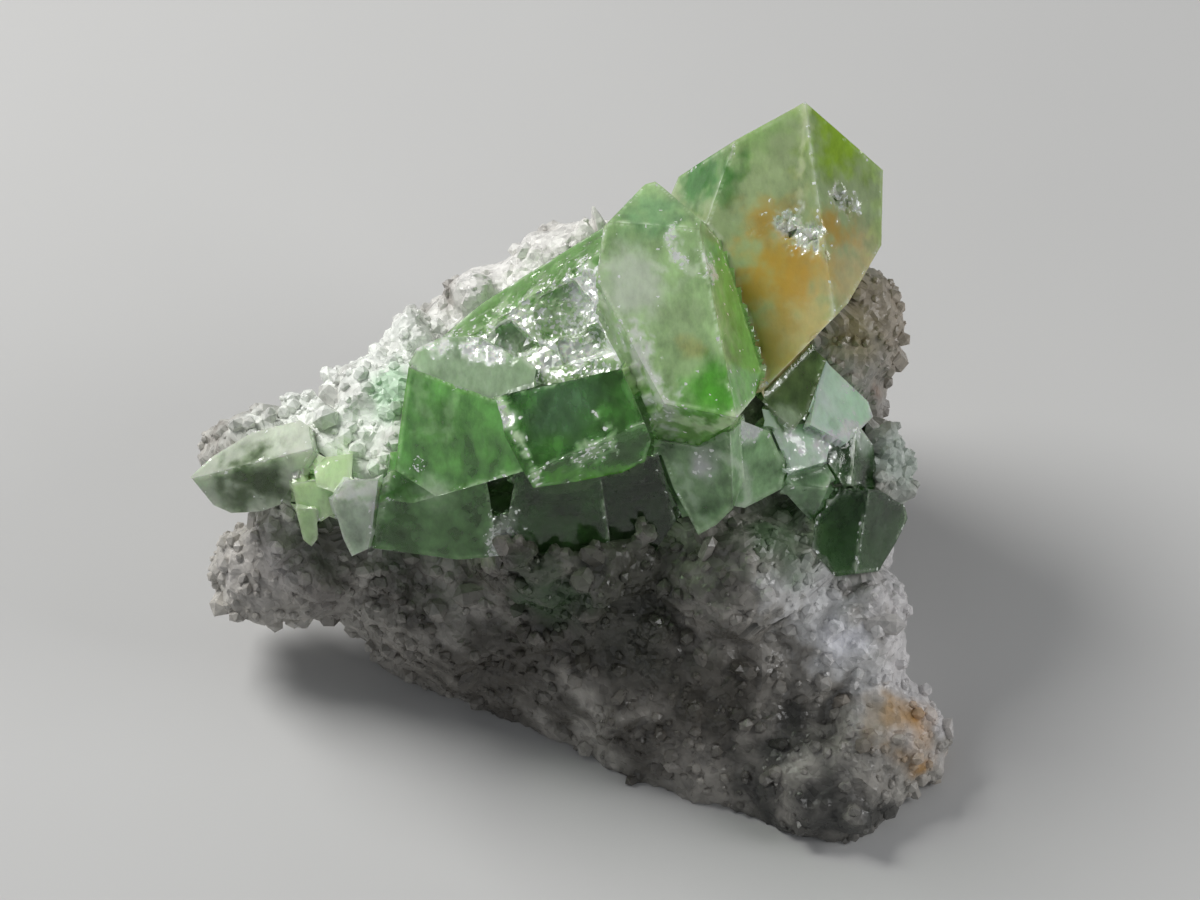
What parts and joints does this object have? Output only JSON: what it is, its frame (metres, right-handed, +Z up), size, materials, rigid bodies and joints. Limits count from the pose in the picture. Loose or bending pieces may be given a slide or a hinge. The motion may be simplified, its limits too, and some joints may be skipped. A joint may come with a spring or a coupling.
{
  "type": "augelite and quartz cluster",
  "caption": "Green augelite crystals grown on a block of white granular quartz, resting on its broken flat underside.",
  "frame": {"origin": "centre of the bounding box, on the plane that the cluster rests on", "axes": "+Z up, +X along the longest side with the pale corner crystal on the right, the crystals' faces looking to -Y and up"},
  "size_m": [0.0457, 0.0369, 0.0327],
  "materials": {
    "quartz": "granular",
    "augelite_green": "vitreous",
    "augelite_stained": "vitreous",
    "augelite_pale": "vitreous",
    "augelite_mint": "vitreous",
    "augelite_dark": "vitreous"
  },
  "bodies": {
    "root": {"quartz_matrix": "quartz", "augelite_main_cluster": "augelite_green", "augelite_corner_crystal": "augelite_stained", "augelite_lower_crystal": "augelite_pale", "augelite_right_cluster": "augelite_mint", "augelite_right_shard": "augelite_mint", "augelite_dark_crystal": "augelite_dark", "augelite_left_tip": "augelite_pale", "augelite_left_crystals": "augelite_pale", "augelite_left_tooth": "augelite_pale"}
  },
  "joints": []
}
